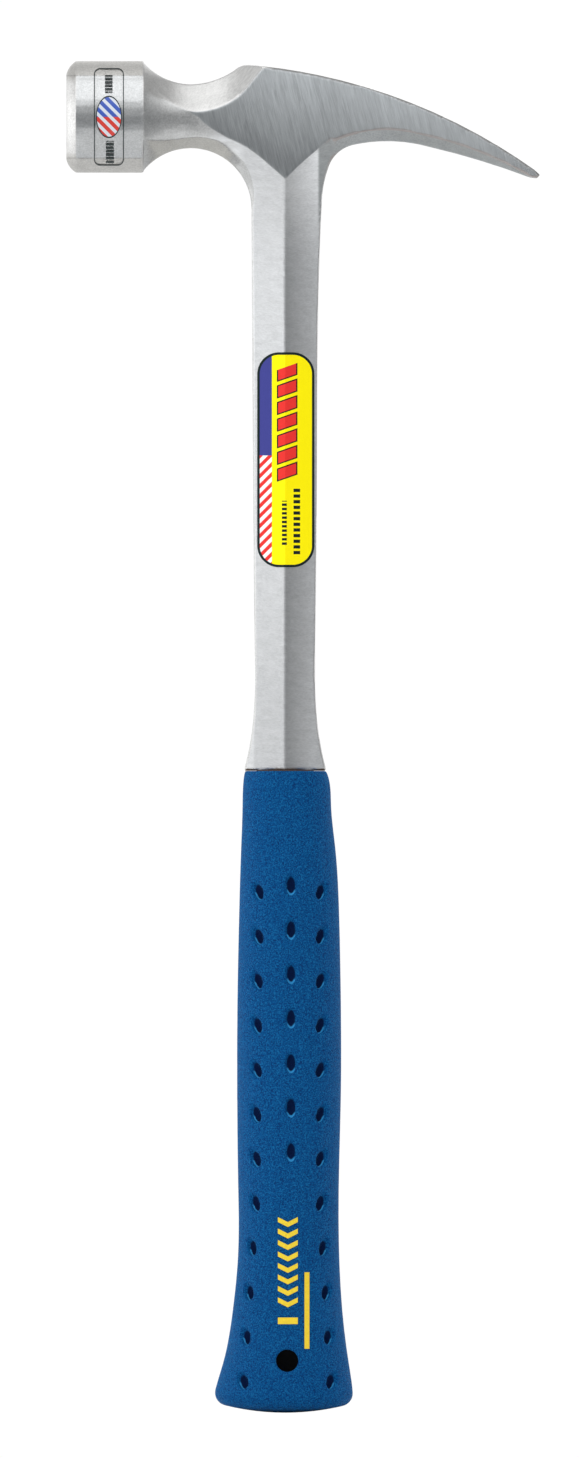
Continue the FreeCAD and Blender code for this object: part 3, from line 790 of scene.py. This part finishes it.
def buildFloor():
    bpy.ops.mesh.primitive_circle_add(vertices=96, radius=studio["floorRadius"], fill_type="NGON",
                                      location=(middle.x, middle.y, hammerLow.z - studio["floorGap"]))
    floor = bpy.context.object
    floor.name = "studioFloor"
    material, tree, shader = newMaterial("paleFloor")
    shader.inputs["Base Color"].default_value = studio["floorColour"]
    shader.inputs["Roughness"].default_value = studio["floorRoughness"]
    # away from the hammer the floor fades into the backdrop, but still throws light back up
    place, at, facing = objectPlace(tree)
    fade = smoothStep(tree, lengthOf(tree, at[0], at[1]), *studio["floorFade"])
    unseen = calc(tree, "SUBTRACT", 1.0, tree.nodes.new("ShaderNodeLightPath").outputs["Is Camera Ray"])
    plug(tree, shader.inputs["Alpha"], calc(tree, "MAXIMUM", fade, unseen))
    floor.data.materials.append(material)


def addSoftbox(name, place, aim, size, power):
    lamp = bpy.data.lights.new(name, "AREA")
    lamp.shape = "RECTANGLE"
    lamp.size, lamp.size_y = size
    lamp.energy = power
    holder = bpy.data.objects.new(name, lamp)
    bpy.context.scene.collection.objects.link(holder)
    holder.location = place
    holder.rotation_euler = (Vector(aim) - Vector(place)).to_track_quat("-Z", "Y").to_euler()


def screenTowards(tree, direction, way, edge):
    # one where the room lies in a given direction, with a soft edge
    towards = tree.nodes.new("ShaderNodeVectorMath")
    towards.operation = "DOT_PRODUCT"
    plug(tree, towards.inputs[0], direction)
    towards.inputs[1].default_value = Vector(way).normalized()
    return smoothStep(tree, towards.outputs["Value"], *edge)


def buildWorld():
    # a plain grey room with two darker screens that the steel reflects, seen as a white backdrop
    world = bpy.data.worlds.new("studioWorld")
    bpy.context.scene.world = world
    world.use_nodes = True
    tree = world.node_tree
    direction = tree.nodes.new("ShaderNodeTexCoord").outputs["Generated"]
    screens = calc(tree, "MAXIMUM", screenTowards(tree, direction, **studio["frontScreen"]),
                   screenTowards(tree, direction, **studio["rightScreen"]))
    room = mixColour(tree, screens, studio["roomGrey"], studio["screenGrey"])
    seen = tree.nodes.new("ShaderNodeLightPath").outputs["Is Camera Ray"]
    background = tree.nodes["Background"]
    plug(tree, background.inputs["Color"], mixColour(tree, seen, room, studio["backdropWhite"]))


def buildCamera():
    camera = bpy.data.cameras.new("studioCamera")
    camera.type = "ORTHO"
    camera.ortho_scale = studio["frameHeight"]
    holder = bpy.data.objects.new("studioCamera", camera)
    bpy.context.scene.collection.objects.link(holder)
    holder.location = (middle.x + studio["rightOfMiddle"], -studio["distance"],
                       middle.z + studio["aboveMiddle"])
    holder.rotation_euler = (math.radians(90), 0, 0)
    bpy.context.scene.camera = holder


buildFloor()
buildWorld()
for name, softbox in softboxes.items():
    addSoftbox(name, **softbox)
buildCamera()
bpy.context.scene.view_settings.view_transform = "Standard"
print("stage: studio ready")
